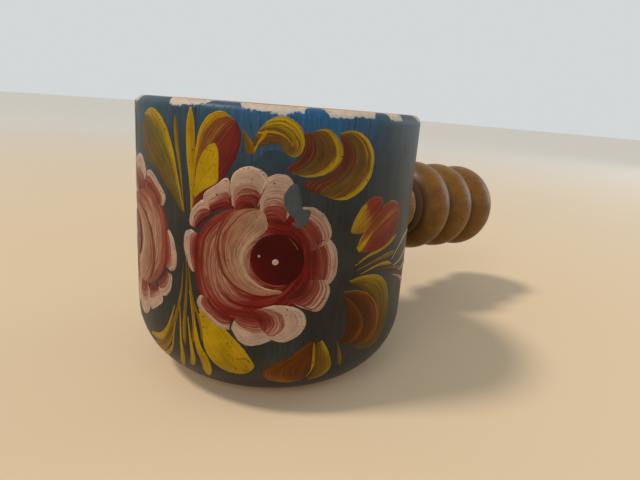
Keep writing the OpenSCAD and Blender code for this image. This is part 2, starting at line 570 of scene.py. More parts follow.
# %% The rose's curves
# The body's outline, each petal's rim and base, the dark gaps between petals, and the comma
BODY_RIM = [
    (7.8, 35.3), (7.8, 39), (6.2, 42.5), (2.6, 44.6), (-2, 45.6), (-7.2, 45.4), (-12, 43.2),
    (-15.2, 39.8), (-16.5, 35.5), (-16.3, 30.5), (-14.8, 25.8), (-11.8, 22.8), (-7.6, 21.6),
    (-2.6, 21.7), (1.8, 23.4), (5.2, 26.6), (7.3, 30.6), (7.8, 35.3)
]
PETALS = [
    [
        [(-16.4, 30.6), (-18, 32.6), (-18.9, 36), (-18.5, 38.8), (-16.8, 39.6)],
        [(-15.6, 31.2), (-15.2, 34), (-15.2, 36.5), (-15.2, 38.7)]
    ],
    [
        [(-17.6, 40.2), (-17, 43.6), (-15.3, 45.5), (-13.8, 45.8), (-12.8, 44.8)],
        [(-15.6, 39.6), (-14.4, 41.2), (-12.6, 42.6)]
    ],
    [
        [(-14.1, 44.9), (-14.3, 47.2), (-12.4, 48.7), (-10.6, 50), (-9.1, 50.4), (-8.6, 48.2)],
        [(-12.2, 43.4), (-10.8, 44), (-8.8, 44.6)]
    ],
    [
        [
            (-8.2, 44.6), (-8.8, 49.2), (-7.8, 51.9), (-5, 53), (-2.5, 52.2), (-1.7, 50.2),
            (-3.2, 45.8)
        ],
        [(-7.4, 43.8), (-6, 44.2), (-4, 44.6)]
    ],
    [
        [
            (-3.1, 44.2), (-2.7, 49.8), (-0.9, 51.7), (1.4, 51.9), (2.9, 50.6), (3.2, 47.6),
            (2.4, 43.8)
        ],
        [(-2.2, 42.4), (-0.6, 42.2), (1.4, 42.4)]
    ],
    [
        [(4, 45.8), (6.9, 46), (9.5, 44.4), (11, 41.9), (11.1, 40), (9.8, 38.4)],
        [(2.4, 41.4), (4, 40), (5.4, 38.2), (6.4, 36.6)]
    ],
    [
        [(9.2, 40), (11, 39.6), (12.4, 37.8), (13.1, 35), (12.9, 32.1), (11.6, 30.2)],
        [(6.8, 38.4), (6.8, 35.5), (6.8, 32.8), (7, 30.4)]
    ],
    [
        [(10.4, 31.8), (11.8, 29.4), (11.5, 27), (10.3, 25), (8.8, 24.6), (5, 26)],
        [(6.4, 31.6), (5.2, 30.2), (3.8, 29), (2.2, 27.6)]
    ],
    [
        [(-14.7, 26.6), (-15.6, 24.2), (-12.8, 21.4), (-10.2, 19.7), (-8, 20)],
        [(-12.6, 26.4), (-11.4, 25), (-9.8, 24.2), (-8, 23.8)]
    ],
    [
        [(1, 19), (-1.4, 17.6), (-4, 16.9), (-6.2, 17.8), (-7.9, 20.6)],
        [(2.4, 24.2), (-1.2, 24.4), (-4, 24.4), (-7, 24.4)]
    ],
    [
        [
            (0, 26.2), (3.6, 26.1), (6.3, 24.9), (7.3, 22.6), (6.6, 20.3), (4.6, 18.7),
            (2.2, 18.1), (-0.2, 18.9)
        ],
        [(-4.6, 24.6), (-3.6, 23.2), (-2.6, 22.2), (-1.8, 21)]
    ],
]
GAPS = [
    [(-8.9, 49.4), (-8.8, 46), (-7.6, 44.6)],
    [(-1.8, 50), (-3.2, 47), (-3.8, 45.4)],
    [(2.2, 44.6), (4, 42.2), (6.4, 39.2)],
    [(7.4, 38.6), (8.6, 39.2), (10, 39.6)],
    [(3.2, 27.3), (6, 26.1), (8.4, 24.9)]
]
COMMA_OUTER = [
    (-3.4, 45.2), (-6.6, 45), (-9.6, 43.4), (-11.6, 40), (-11.8, 36), (-10.4, 32), (-7.4, 29),
    (-3, 27.8), (2.2, 28.6)
]
COMMA_INNER = [
    (-2.2, 44.6), (-1.2, 42.8), (-1.3, 41), (-3.2, 39.2), (-4.8, 37), (-5.1, 34.4), (-4.1, 31.6),
    (-1.4, 29.8), (2.2, 29.1)
]
print(len(PETALS), "petals and", len(GAPS), "gaps")


# %% Paint the roses
def rose(sheet, pale=0.0):
    """Body, petals, gaps, comma and eye, in the order they are laid. Pale is extra white."""
    hub = [EYE] * len(BODY_RIM)
    stroke(sheet, "rose", BODY_RIM, hub, 0.05, lambda u, v: rose_load(u, v) + pale, ring=True)
    for count, (rim, base) in enumerate(PETALS):
        white = 0.72 if count in (5, 6, 7, 8) else 1.0  # the right-hand petals are redder
        stroke(sheet, "petal", rim, base, 0.09 + 0.015 * (count % 3), lambda u, v: white * v)
    for gap in GAPS:
        touch(sheet, "deep", gap, 0.8, 0.14)

    def comma_load(u, v):
        return 0.95 - 0.85 * v**1.3 - 0.2 * smooth((u - 0.6) / 0.4)

    def eye_load(u, v):
        return 0.1 + 0.75 * v * max(0.0, math.cos(math.radians(360 * u - 215))) ** 2

    stroke(sheet, "cream", COMMA_OUTER, COMMA_INNER, 0.12, comma_load)
    dab(sheet, "eye", EYE, 5.5, 0.17, eye_load)
    angles = [a / 57.3 for a in range(175, 300, 20)]  # degrees to radians
    gleam = [(EYE[0] + 5.1 * math.cos(a), EYE[1] + 5.1 * math.sin(a)) for a in angles]
    touch(sheet, "shine", gleam, 0.5, 0.2)
    touch(sheet, "shine", [(2.4, 40), (3.6, 38.9), (4.6, 37.4)], 0.6, 0.22)
    dab(sheet, "white", (0.3, 35), 0.85, 0.26)
    dab(sheet, "white", (-2.8, 36), 0.5, 0.24)


motif("rose_front", rose, ROSE, (-3.5, 33.5))

# %% [markdown]
# ## Fans of leaves
#
# Above and below the roses, leaves spread from one point. A broad leaf is one press of a
# brush with yellow on one side and olive or crimson on the other, drawn off to a point. The
# thin ones are single touches of the brush's tip.


# %% Fans above and below
FAN_TOP = (-18.0, 43.0)
FAN_FOOT = (-18.0, 28.0)


def top_fan(sheet):
    """Two broad leaves with two thin ones between them."""
    outer = [
        (-18.8, 42.6), (-20.2, 48.5), (-21.6, 54), (-23.6, 58.6), (-26.4, 61.3), (-29.4, 61.8),
        (-32, 60.4)
    ]
    inner = [
        (-19.1, 42.4), (-23, 46.2), (-27, 49.8), (-30.8, 51.2), (-33, 53.8), (-33.4, 57.2),
        (-32.3, 59.9)
    ]
    stroke(
        sheet, "olive", outer, inner, 0.07,
        lambda u, v: 0.05 + 0.9 * v**2.1 + 0.25 * smooth((u - 0.7) / 0.3)
    )
    outer = [
        (-17.1, 42.6), (-17, 49), (-16.5, 55), (-15.3, 59.6), (-13, 62), (-10.6, 62.3), (-8.6, 61)
    ]
    inner = [
        (-16.7, 42.6), (-14, 47), (-11.2, 48.9), (-9.2, 51.8), (-7.6, 55), (-7.1, 58.2), (-8, 60.5)
    ]
    stroke(sheet, "crimson", outer, inner, 0.07, lambda u, v: 0.05 + 0.85 * v**1.6)
    left = [(-16.8, 45.8), (-16, 52), (-14.3, 55.8), (-12.3, 56.8), (-11.5, 55.8)]
    right = [(-16.5, 45.8), (-14, 47.6), (-11.4, 49.2), (-11.3, 52), (-11.4, 55.2)]
    stroke(sheet, "yellow", left, right, 0.11, 0.75)
    touch(sheet, "ochre", [(-12, 49.6), (-11.9, 52), (-12.6, 53.4), (-12.2, 55.6)], 0.35, 0.13)
    touch(sheet, "ochre", [(-18.9, 43), (-19.8, 50), (-20.9, 56), (-21.3, 61)], 1.2, 0.09, 0.75)
    touch(
        sheet, "yellow", [(-17.1, 42), (-17, 48), (-17.4, 55), (-17.5, 62.6)], 2.3, 0.1,
        lambda u, v: 0.35 + 0.5 * v
    )


def foot_fan(sheet):
    """Thin touches that spread from one point, and one broad leaf."""
    outer = [
        (-15.4, 23.4), (-12, 22), (-9, 19.8), (-6, 17), (-3.9, 14.2), (-3.1, 12), (-4.2, 10.3)
    ]
    inner = [
        (-15.2, 22.6), (-14.4, 18.6), (-13.8, 14.6), (-12.4, 11.8), (-10, 9.9), (-7, 9.3),
        (-4.6, 10)
    ]
    stroke(
        sheet, "yellow", outer, inner, 0.09,
        lambda u, v: 0.95 - 0.75 * v * (1 - v) * 2.2 - 0.35 * smooth((u - 0.6) / 0.3) * v
    )
    touch(sheet, "tulip", [(-9.4, 14.6), (-6.8, 13.6), (-4.8, 13.9), (-3.8, 12.6)], 0.7, 0.12, 0.4)
    outer = [(-20.6, 22), (-22, 15), (-25, 10.8), (-30, 7.4), (-36, 5), (-44, 2.9)]
    inner = [(-20.9, 22), (-23.5, 16.6), (-27, 13), (-32, 10.2), (-37, 6.8), (-44, 3.6)]
    stroke(sheet, "ochre", outer, inner, 0.05, lambda u, v: 0.45 + 0.5 * v**3)
    touches(
        sheet,
        0.07,
        ("yellow", [(-21.4, 22.5), (-23.8, 16.4), (-27, 13.2), (-32, 12.1)], 1.9),
        ("yellow", [(-20.9, 22), (-22.2, 14), (-25.2, 10), (-33, 5.6), (-44, 2.7)], 1.3),
        ("yellow", [(-20, 23), (-19.8, 14), (-20.6, 10), (-23, 6.4)], 1.5),
        ("yellow", [(-17.9, 21), (-17, 12.5), (-18.5, 8.6)], 1.5),
        ("yellow", [(-17.4, 27), (-15.6, 16), (-14, 11), (-15, 6.3)], 2.6),
        ("ochre", [(-18.4, 34), (-18.2, 28), (-18.8, 19), (-18.6, 14)], 1.1),
        ("ochre", [(-18, 34), (-17.4, 28), (-16.4, 21), (-16.6, 15)], 1.0),
        ("ochre", [(-19, 32), (-19.6, 26), (-21.4, 19), (-23.6, 14.6)], 1.0),
        ("ochre", [(-17.4, 31), (-16.6, 25), (-14.8, 20), (-14.2, 16)], 0.8),
    )


motif("leaves_top_front", top_fan, FAN_TOP, (-17.8, 42.0))
motif("leaves_foot_front", foot_fan, FAN_FOOT, (-17.8, 27.4))

# %% [markdown]
# ## Garland, tulip and crescents
#
# Round the rose runs a garland of half-moon leaves, each laid over the next one's tail. To
# the right are a two-petalled tulip on thin stems and three nested crescents, with a small
# leaf at the foot.


# %% Garland
GARLAND = (8.0, 55.0)


def garland(sheet):
    """Half-moon leaves in a row, the last one lowest."""

    def bright_edge(u, v):
        return 0.05 + 0.92 * v**2

    touch(sheet, "ochre", [(-6.8, 59.6), (-5.6, 57.2), (-4.8, 55.2)], 2.2, 0.06)
    outer = [
        (11, 60.1), (14, 60.7), (16.8, 59.8), (19, 57.6), (19.8, 55), (19.3, 52), (17.6, 49.6),
        (15, 47.9), (12, 47.5), (8.2, 48.6)
    ]
    inner = [
        (11.2, 59.4), (11.9, 57.6), (12, 55.6), (11, 53.6), (9.2, 52.2), (7, 51.4), (5, 51.2),
        (4.4, 50.6), (5.2, 49.6), (7.4, 48.8)
    ]
    stroke(sheet, "garland", outer, inner, 0.06, bright_edge)
    outer = [
        (6, 60), (8.6, 60.7), (10.6, 59.6), (12.1, 57.6), (12.3, 55.6), (11, 53.6), (8.6, 52.2),
        (5.6, 51.7), (2.4, 52.4)
    ]
    inner = [
        (4.2, 59.6), (4.4, 58), (4.2, 56.6), (3.6, 55.4), (2.8, 54.6), (2, 54), (1.5, 53.6),
        (1.3, 53.2), (1.6, 52.8)
    ]
    stroke(sheet, "garland", outer, inner, 0.09, bright_edge)
    outer = [
        (-3.6, 60), (-1.6, 61.9), (1, 62.4), (3.3, 61.2), (4.7, 58.9), (4.6, 56.8), (3.2, 55.3),
        (1.6, 55.6)
    ]
    inner = [
        (-4.6, 58.4), (-4.8, 56.6), (-3.6, 56.6), (-2.4, 57), (-1.2, 57.4), (-0.2, 57.2),
        (0.4, 56.6), (1, 56)
    ]
    stroke(sheet, "garland", outer, inner, 0.12, lambda u, v: 0.3 + 0.6 * v)
    touch(sheet, "yellow", [(-4.6, 55.6), (-3.8, 57.4), (-2.8, 58.8), (-2.4, 60)], 1.5, 0.14, 0.6)
    for start in range(3):
        lift = 0.15 + 0.01 * start
        arc = [
            (-1.2 + 0.5 * start, 60.9 - 0.6 * start), (1.6, 60.4 - 0.7 * start),
            (2.8 - 0.3 * start, 58.4), (2.2, 56.8)
        ]
        touch(sheet, "ochre", arc, 0.5, lift, 0.9)


motif("garland_front", garland, GARLAND, (8.0, 53.9))

# %% Tulip with its stems
TULIP = (22.0, 36.0)


def tulip(sheet):
    """Two petals, thin leaves below them and pale feathered touches at the tip."""
    outer = [(15.5, 40.8), (16, 43), (17.4, 45.6), (19, 47.2), (21, 47.9), (23.2, 47.4)]
    inner = [(15.9, 40.6), (18.4, 40.3), (20.6, 41.2), (22.6, 42.6), (23.8, 44.4), (23.8, 46.8)]
    stroke(
        sheet, "tulip", outer, inner, 0.07,
        lambda u, v: 0.95 - 0.75 * smooth((u - 0.35) / 0.3) + 0.2 * v
    )
    outer = [
        (17.4, 37.2), (18.4, 40), (20.6, 42.8), (23.4, 45.4), (26.6, 46.7), (29.4, 46), (31, 43.6)
    ]
    inner = [
        (17.8, 36.6), (20.6, 36), (24, 36), (27, 36.8), (29.4, 38.2), (30.9, 40.2), (31.1, 42.6)
    ]
    stroke(
        sheet, "tulip", outer, inner, 0.1,
        lambda u, v: 0.12 + 0.75 * v * (1 - 0.35 * u) + 0.25 * (1 - smooth(u / 0.3))
    )
    touch(sheet, "yellow", [(21.6, 41), (20, 39), (18.4, 37.4), (17.7, 36.8)], 1.9, 0.13, 0.75)
    touch(sheet, "yellow", [(16, 41.2), (16.8, 43), (18, 45), (19.2, 46.4)], 1.2, 0.12, 0.7)
    touches(
        sheet,
        0.08,
        ("yellow", [(17.3, 33.6), (21, 35.4), (26, 36.6), (31, 38.6)], 1.3),
        ("ochre", [(17.8, 32.6), (23, 33.9), (27, 34.4), (31, 34.6)], 1.3),
        ("yellow", [(18.8, 31.6), (23.6, 32.7), (27, 32.7), (30, 32)], 1.1),
        ("orange", [(22, 32), (28, 31.2), (32, 30.4), (37, 29.2)], 1.1),
        ("white", [(29.6, 33), (33.4, 35.6), (37.4, 37.2), (42, 37.6)], 1.0),
        ("white", [(30.4, 31.4), (34.6, 31.6), (38.4, 32.8), (42.6, 33)], 1.0),
        ("white", [(31, 29.2), (35.6, 27.6), (39, 26), (43, 24.4)], 1.1),
        ("petal", [(33, 30), (37, 29), (41, 29.4), (44, 29)], 1.5),
    )


motif("tulip_front", tulip, TULIP, (21.8, 35.1))

# %% Crescents, and the leaf at the foot
CRESCENTS = (23.0, 22.0)
FOOT_LEAF = (6.0, 11.0)


def crescents(sheet):
    """Three nested half-moons, the smallest on top."""
    outer = [
        (16.2, 30.2), (20, 31), (24.8, 30.4), (28.2, 28.2), (30.3, 24.6), (31, 21), (30.3, 17.2),
        (28, 14), (24.4, 13), (20, 14.4)
    ]
    inner = [
        (17, 29.6), (19, 28.6), (21, 27), (23, 25), (24, 22.6), (24.2, 20), (23.4, 17.6),
        (22, 16.2), (20.4, 15.4), (18.4, 15.2)
    ]
    stroke(
        sheet, "moss", outer, inner, 0.06,
        lambda u, v: 0.15 + 0.85 * v**0.9 * (1 - 0.5 * smooth((u - 0.3) / 0.3))
    )
    outer = [
        (15.2, 28.1), (18.6, 28), (22.6, 26.4), (25.6, 23.6), (27, 20.2), (26.4, 16.8), (24, 15),
        (20.6, 15.4)
    ]
    inner = [
        (15.6, 27.4), (17, 26), (18.6, 24), (19.6, 22), (20, 20), (19.6, 18), (18.8, 16.8),
        (17.6, 16.2)
    ]
    stroke(sheet, "orange", outer, inner, 0.09, lambda u, v: 0.1 + 0.85 * v**1.4)
    outer = [
        (15.6, 27), (18.2, 25.2), (20.4, 22.8), (21.8, 20.2), (21.2, 17.6), (18.8, 15.9),
        (15.6, 16.6)
    ]
    inner = [
        (15.5, 26.4), (16, 24.4), (16.5, 22.4), (16.8, 20.6), (16.5, 18.8), (16, 17.6), (15.3, 17)
    ]
    stroke(sheet, "orange", outer, inner, 0.12, lambda u, v: 0.05 + 0.8 * v**1.6)


def foot_leaf(sheet):
    """A leaf of two halves with a bright rib between them, and one small touch beside it."""
    outer = [
        (8.4, 18), (6.2, 16.2), (3.6, 14.2), (0.8, 12.8), (-1.2, 10.8), (-0.8, 8.8), (1.4, 7.4),
        (4.6, 6.9), (8, 7.6)
    ]
    inner = [
        (9, 18), (9.2, 16), (9.3, 14), (9.3, 12.6), (9.2, 11.2), (9.1, 10.2), (8.9, 9.4),
        (8.7, 8.8), (8.4, 8.2)
    ]
    stroke(
        sheet, "orange", outer, inner, 0.07,
        lambda u, v: 0.35 + 0.4 * v + 0.2 * smooth((u - 0.4) / 0.4)
    )
    outer = [(11, 18), (12.6, 15.4), (13.8, 12.6), (14.2, 10.4), (13.2, 8.2), (9.4, 7.2)]
    inner = [(9.6, 17.6), (9.4, 15), (9.6, 12.6), (9.6, 10.8), (9.4, 9.2), (9, 8)]
    stroke(sheet, "moss", outer, inner, 0.08, lambda u, v: 0.2 + 0.75 * v)
    touch(sheet, "yellow", [(8.6, 8.4), (9.5, 11), (9.4, 14), (9.1, 17.8)], 0.9, 0.13, 0.45)
    touch(sheet, "ochre", [(14.4, 17.4), (15.4, 14), (16.6, 10.4)], 1.1, 0.07)


motif("crescents_front", crescents, CRESCENTS, (22.7, 21.4))
motif("leaf_foot_front", foot_leaf, FOOT_LEAF, (6.0, 10.4))


# %% Chip and filled patch
def marks(sheet):
    """A flake of paint gone down to the undercoat, and a filled patch of smooth ground."""
    left = [(2.9, 50.9), (1.4, 49.2), (0.8, 47), (1.7, 45), (3.1, 43.9), (3.3, 42.6), (4.5, 41.8)]
    right = [(3.6, 50.4), (4.4, 49), (4.8, 47.4), (5.2, 46.2), (6.7, 45.7), (6.6, 44), (5.7, 42.6)]
    stroke(sheet, "chip", left, right, 0.2, 0.5, shaky=0.4)
    left = [(-4.2, 52), (-5, 53.6), (-3.6, 55.4), (-1, 56.4)]
    right = [(2.6, 51.8), (2.8, 53.6), (1.8, 55.4), (0.6, 56.2)]
    stroke(sheet, "patch", left, right, 0.02, 0.5, shaky=0.4)


motif("chip_and_patch", marks, (0, 0), (0, -1.1))

# %% [markdown]
# ## The rest of the way round
#
# The same motifs carry on round the cup, placed and turned again, and stay clear of the
# hole that the screw goes through.

# %% Motifs round the cup
SCREW_HOLE = 75.0  # mm along the side from the middle of the painted front to the screw
motif("rose_left", rose, ROSE, (-35.9, 34.0), turn=180, pale=0.2)
motif("rose_back", rose, ROSE, (-71.0, 34.3), pale=0.1)
for name, draw, pivot, at, flip in [
    ("leaves_top_left", top_fan, FAN_TOP, (-54.0, 43.0), True),
    ("leaves_foot_left", foot_fan, FAN_FOOT, (-54.0, 28.0), True),
    ("garland_back", garland, GARLAND, (-83.0, 55.0), True),
    ("tulip_back", tulip, TULIP, (-96.5, 36.0), True),
    ("crescents_back", crescents, CRESCENTS, (-98.0, 22.0), True),
    ("leaf_foot_back", foot_leaf, FOOT_LEAF, (-81.0, 11.0), True),
    ("garland_over_screw", garland, GARLAND, (SCREW_HOLE, 54.2), True),
    ("leaf_foot_under_screw", foot_leaf, FOOT_LEAF, (SCREW_HOLE - 8, 11.0), False),
    ("leaf_foot_beyond_screw", foot_leaf, FOOT_LEAF, (SCREW_HOLE + 8, 11.0), True),
]:
    motif(name, draw, pivot, at, flip=flip)

# %% [markdown]
# ## The cup's ground
#
# The ground is an oil enamel, brushed thin over turned beech. Enamel gives the eye a smooth
# satin skin with a soft highlight. So thin a coat sinks into the wood, so the pores show as
# short upright flecks and the fibres as faint upright lines. It could be one colour with a
# bump, but the brush leaves it cloudy, and a painted bluish sheen near the rim stands in for
# a window's reflection, so those are separate layers here. All its patterns stand in mm.

# %% The enamel ground
cup_paint, tree, shader = new_material("blue-grey enamel brushed on turned beech")
in_mm = millimetres(tree)
x = add(tree, "SeparateXYZ", [in_mm])
y, z = x.node.outputs[1:]
across = add(tree, "CombineXYZ", [x, y])
radius = add(tree, "VectorMath", [across], out="Value", operation="LENGTH")
cloudy = blotches(tree, in_mm, 9, (1, 1, 2.2))
ground = add(
    tree, "ValToRGB", [cloudy], stops=[(0.3, "#191917"), (0.5, "#21221f"), (0.7, "#2c2e2b")]
)
height_up = add(tree, "Math", [z, CUP_H], operation="DIVIDE")
# A painted bluish sheen near the rim, stronger towards the top, stands in for a window's
# reflection
sheen_band_stops = [(0.66, 0.0), (0.88, 0.3), (0.985, 0.72)]
painted_sheen = add(tree, "ValToRGB", [height_up], stops=sheen_band_stops)
ground = add(tree, "Mix", {0: painted_sheen, 6: ground, 7: linear("#2b4656")}, **TINT)
print("ground so far:", len(tree.nodes), "nodes")

# %% A painted reflection of a window near the rim, found by its place round the cup
ROUND = 2 * math.pi * CUP_R
azimuth = add(tree, "Math", [y, x], operation="ARCTAN2")
turned = add(tree, "Math", [azimuth, math.radians(FRONT)], operation="SUBTRACT")
turned = add(tree, "Math", [turned, math.pi, -math.pi], operation="WRAP")
share = add(tree, "Math", [turned, 1 / (2 * math.pi), 0.5], operation="MULTIPLY_ADD")
# A stronger painted blue reflection of a window, on one stretch of the rim at the front
window_sheen = [
    (0.5 + at / ROUND, value) for at, value in ((-18, 0.0), (0, 0.85), (10, 1.0), (24, 0.0))
]
window_sheen = add(tree, "ValToRGB", [share], stops=window_sheen)
sheen_height = add(tree, "ValToRGB", [height_up], stops=[(0.8, 0.0), (0.93, 0.6), (0.98, 0.9)])
window_sheen = add(tree, "Math", [window_sheen, sheen_height], operation="MULTIPLY")
ground = add(tree, "Mix", {0: window_sheen, 6: ground, 7: linear("#1f507a")}, **TINT)
print("the cup is", round(ROUND, 1), "mm round")

# %% Pores and fibres in the ground
PORE = 0.35  # mm across a pore, and a vessel seen from the side is nine times as long
pores = blotches(tree, in_mm, PORE, (1, 1, 9), 2.0)
pore_mask = add(tree, "ValToRGB", [pores], stops=[(0.62, 0.0), (0.7, 1.0)])
in_pore = add(tree, "Math", [pore_mask, 0.8], operation="MULTIPLY")
ground = add(tree, "Mix", {0: in_pore, 6: ground, 7: linear("#12110d")}, **TINT)
fibres = blotches(tree, in_mm, 0.5, (1, 1, 14))
fibre_shade = add(tree, "ValToRGB", [fibres], stops=[(0.3, 0.78), (0.7, 1.3)])
ground = add(tree, "Mix", {0: 1.0, 6: ground, 7: fibre_shade}, blend_type="MULTIPLY", **TINT)
print("ground so far:", len(tree.nodes), "nodes")

# %% [markdown]
# ## Bare wood and the worn rim
#
# On the rim the enamel has worn through its pale primer to bare beech, which is pinkish tan
# and quite dull. A mask painted by hand would have to be drawn on the cup, so the wear
# follows one measure instead: how far a point lies up the side and then in over the rim.
# The enamel ends where that measure passes a ragged limit, and the limit drops at each
# place where the rim has been knocked. Inside, and under the foot, the wood is bare too.

# %% Bare beech
grain = blotches(tree, in_mm, 0.8, (1, 1, 12), 4.0)
wood = add(
    tree, "ValToRGB", [grain], stops=[(0.25, "#a8927e"), (0.5, "#bca893"), (0.75, "#ccbba8")]
)
BORE = 25.6  # mm from the middle, past which the wood has been touched less
inside = add(tree, "Math", [radius, BORE], operation="LESS_THAN")
aged = add(
    tree, "ValToRGB", [grain], stops=[(0.25, "#7d5c40"), (0.5, "#97734f"), (0.75, "#a98560")]
)
wood = add(tree, "Mix", {0: inside, 6: wood, 7: aged}, **TINT)
print("bare beech inside", BORE, "mm")

# %% Knocks round the rim
KNOCKS = [  # each one's place round the rim from the middle of the front, and its length, in mm
    (-93, 9), (-76, 14), (-58, 6), (-41, 9), (-18.5, 10), (-1.5, 12.5), (13.8, 11.5), (25.5, 5),
    (42, 12), (58, 7), (71, 13), (92, 8)
]
DEEP, ENDS = 3.0, (0.53, 0.45)  # mm that a knock reaches, and where it starts and is deepest
halves = []
for some in (KNOCKS[:6], KNOCKS[6:]):  # a ramp holds 32 stops, and each knock takes four
    stops = [(0.0, 0.0)]
    for centre, length in some:
        for offset, value in ((-ENDS[0], 0), (-ENDS[1], 1), (ENDS[1], 1), (ENDS[0], 0)):
            stops.append(((centre + offset * length) / ROUND + 0.5, float(value)))
    halves.append(add(tree, "ValToRGB", [share], stops=stops))
knocked = add(tree, "Math", halves, operation="MAXIMUM")
print(len(KNOCKS), "knocks, the longest", max(length for centre, length in KNOCKS), "mm")

# %% Where the enamel ends
LAST = CUP_H + 1.9  # how far the enamel goes up and over the rim on the whole, in mm
RAGGED, WAVY = 2.4, 2.2  # how far its edge wanders in all, finely and broadly, in mm
PRIMER = 0.7  # how far the primer shows past the enamel, in mm
CRISP = 2.5  # both edges blend over 1 / CRISP mm
ragged = blotches(tree, in_mm, 0.9, detail=4.0)
wavy = blotches(tree, in_mm, 6.0, detail=1.0)
least = LAST - RAGGED / 2 - WAVY / 2
limit = add(tree, "Math", [knocked, -DEEP, least], operation="MULTIPLY_ADD")
limit = add(tree, "Math", [ragged, RAGGED, limit], operation="MULTIPLY_ADD")
limit = add(tree, "Math", [wavy, WAVY, limit], operation="MULTIPLY_ADD")
edge = add(tree, "Math", [z, CUP_R], operation="ADD")
edge = add(tree, "Math", [edge, radius], operation="SUBTRACT")
past = add(tree, "Math", [edge, limit], operation="SUBTRACT")
primer_mask = add(tree, "Math", [past, CRISP], operation="MULTIPLY", use_clamp=True)
later = [past, CRISP, -PRIMER * CRISP]
bare_mask = add(tree, "Math", later, operation="MULTIPLY_ADD", use_clamp=True)
foot = add(tree, "Math", [z, 0.25], operation="LESS_THAN")
for more in (inside, foot):
    bare_mask = add(tree, "Math", [bare_mask, more], operation="MAXIMUM")
primer = add(tree, "Mix", {0: ragged, 6: linear("#9d9b96"), 7: linear("#b5b2ac")}, **TINT)
colour = add(tree, "Mix", {0: primer_mask, 6: ground, 7: primer}, **TINT)
colour = add(tree, "Mix", {0: bare_mask, 6: colour, 7: wood}, **TINT)
print("primer shows for", PRIMER, "mm between enamel and wood")

# %% The cup's relief and gloss
brushed = blotches(tree, in_mm, 0.6, (7, 7, 1))
worn_down = add(tree, "Math", [bare_mask, -1.2], operation="MULTIPLY")
sunk = add(tree, "Math", [pore_mask, -0.7, worn_down], operation="MULTIPLY_ADD")
relief = add(tree, "Math", [brushed, 0.5, sunk], operation="MULTIPLY_ADD")
bump = add(tree, "Bump", {"Height": relief, "Distance": 0.05 * MM, "Strength": 0.7})
satin = add(tree, "Math", [cloudy, 0.12, 0.36], operation="MULTIPLY_ADD")
dull = add(tree, "Math", [bare_mask, 0.7], operation="MULTIPLY")
rough = add(tree, "Math", [satin, dull], operation="MAXIMUM")
feed(tree, shader, {"Base Color": colour, "Roughness": rough, "Normal": bump})
feed(tree, shader, {"Specular IOR Level": 0.24})


def finish(piece, material):
    """Gives a piece one material all over."""
    piece.data.materials.clear()
    piece.data.materials.append(material)


finish(frame["nodes"]["cup"], cup_paint)
print("cup finish:", len(tree.nodes), "nodes")

# %% [markdown]
# ## The varnished grip
#
# The grip is turned from the same beech and has an amber spirit varnish. Varnish is a clear
# coat, so it gives the eye a second, softer highlight over the wood. It pools darker in the
# grooves, and painted shade between the beads darkens them further. Turning leaves faint
# rings, and the grain runs along the axis. A Mapping node turns the coordinates so that Z
# runs along the screw, and the darkening then only needs the distance from that axis.

# %% Coordinates along the screw
tilt = math.atan2(SCREW_AXIS.x, SCREW_AXIS.z)


def along_screw(tree):
    """Coordinates in mm with Z along the screw's axis, and the distance from the axis."""
    place = add(tree, "TexCoord", out="Object")
    moved = add(tree, "Mapping", {"Vector": place, "Location": tuple(-SCREW_POINT)})
    turned = add(tree, "Mapping", {"Vector": moved, "Rotation": (0, -tilt, 0)})
    in_mm = add(tree, "VectorMath", {0: turned, "Scale": 1 / MM}, operation="SCALE")
    x = add(tree, "SeparateXYZ", [in_mm])
    across = add(tree, "CombineXYZ", [x, x.node.outputs[1]])
    return in_mm, add(tree, "VectorMath", [across], out="Value", operation="LENGTH")


print("the screw leans", round(math.degrees(tilt) - 90, 1), "degrees below level")

# %% Amber varnish
varnish, tree, shader = new_material("amber varnish on turned beech")
in_mm, from_axis = along_screw(tree)
grain = blotches(tree, in_mm, 0.7, (1, 1, 16), 4.0)
streaky = blotches(tree, in_mm, 3.0, (1, 1, 6), 2.0)
amber = add(
    tree, "ValToRGB", [grain], stops=[(0.25, "#533300"), (0.5, "#6d4502"), (0.75, "#805506")]
)
broad = add(tree, "ValToRGB", [streaky], stops=[(0.3, "#5a3901"), (0.7, "#805708")])
amber = add(tree, "Mix", {0: 0.5, 6: amber, 7: broad}, **TINT)
GROOVES, CROWNS = 8.6, 14.2  # how far from the axis, in mm
depth = add(tree, "MapRange", [from_axis, GROOVES, CROWNS, 1.0, 0.0])
# Darker in the grooves: partly varnish pooled there, partly painted shade between the beads
pooled_varnish_and_shade = add(tree, "ValToRGB", [depth], stops=[(0.0, 0.0), (0.4, 0.3), (0.85, 0.88)])
amber = add(tree, "Mix", {0: pooled_varnish_and_shade, 6: amber, 7: linear("#2c1807")}, **TINT)
RING = 0.45  # mm from one ring that the turner's gouge leaves to the next
rings = blotches(tree, in_mm, RING, (40, 40, 1), 2.0, 0.5)
relief = add(tree, "Math", [rings, grain], operation="ADD")
bump = add(tree, "Bump", {"Height": relief, "Distance": 0.04 * MM, "Strength": 0.5})
feed(tree, shader, {"Base Color": amber, "Roughness": 0.42, "Normal": bump})
feed(tree, shader, {"Specular IOR Level": 0.25, "Coat Weight": 0.15, "Coat Roughness": 0.3})
finish(frame["nodes"]["grip"], varnish)
print("grip finish:", len(tree.nodes), "nodes")

# %% [markdown]
# ## The wooden screw
#
# A wood screw of this size is cut with a screw box, so its thread has narrow flats on crest
# and root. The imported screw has 24 facets a turn, which would show. A Screw modifier could
# wind a finer one, but bmesh's spin does it in one step: it starts as the line of one
# tooth, and climbs one pitch a turn, so that each turn's end meets the next turn's start.
# The ends are cut square, and the tip's crests are turned down to a chamfer.

# %% One tooth, spun up the axis
PITCH = 5.0
CREST_R, ROOT_R = 9.0, 7.1
CREST, ROOT = 0.22, 0.20  # shares of the pitch
TIP, SHOULDER = -37.75, 19.45  # the screw's ends along its axis, in mm from the wall's middle
CHAMFER = 2.6
STEPS = 60  # facets in a turn

